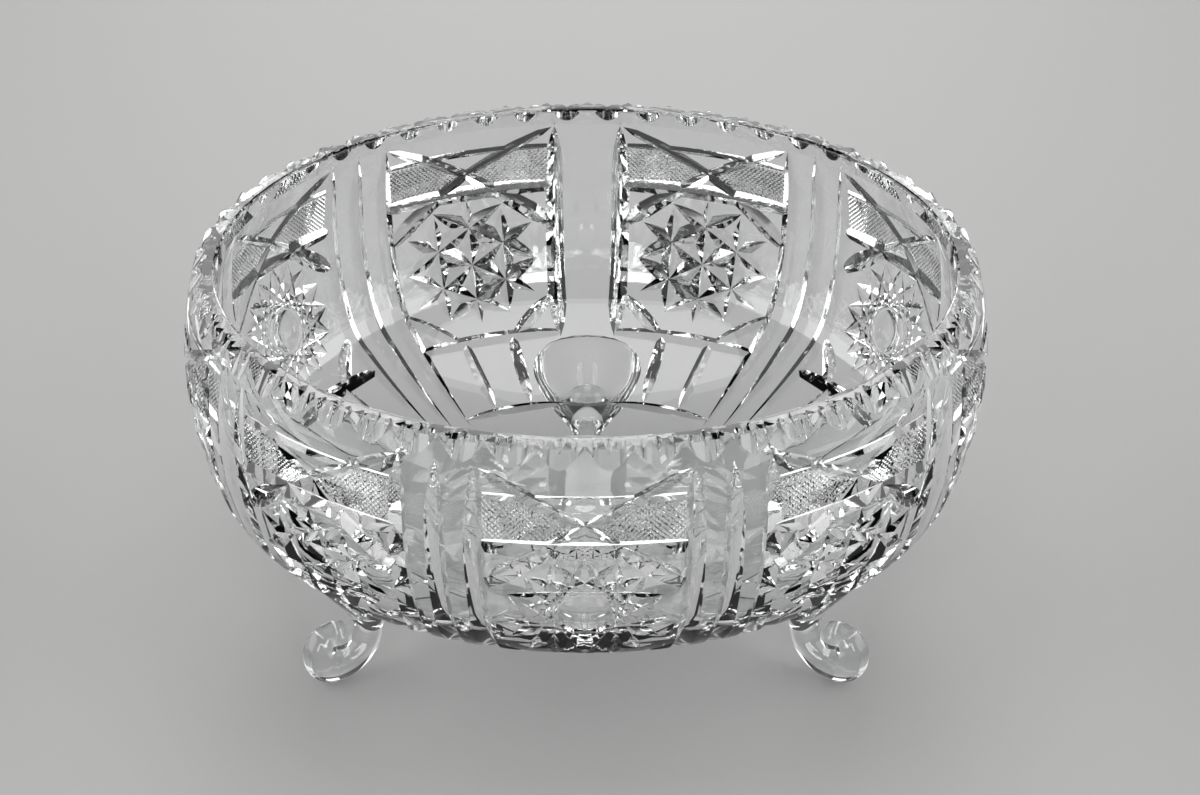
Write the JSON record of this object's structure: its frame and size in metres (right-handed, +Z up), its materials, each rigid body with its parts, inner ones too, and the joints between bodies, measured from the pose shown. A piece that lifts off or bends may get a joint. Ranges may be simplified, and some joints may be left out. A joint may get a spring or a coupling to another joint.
{
  "type": "footed crystal fruit bowl",
  "caption": "Round cut-crystal fruit bowl with a scalloped rim, star-cut panels between upright mitres, and curled scroll feet that hold it clear of the table.",
  "frame": {"origin": "centre of the bowl on the table, at the ground flats of the feet", "axes": "+Z up, -Y towards the front, with one foot at the back on +Y"},
  "size_m": [0.2098, 0.2098, 0.105],
  "materials": {
    "bowl_crystal": "clear cut and polished crystal",
    "foot_crystal": "clear fire-polished crystal"
  },
  "bodies": {
    "root": {"bowl": "bowl_crystal", "foot_rear": "foot_crystal", "foot_front_left": "foot_crystal", "foot_front_right": "foot_crystal"}
  },
  "joints": []
}
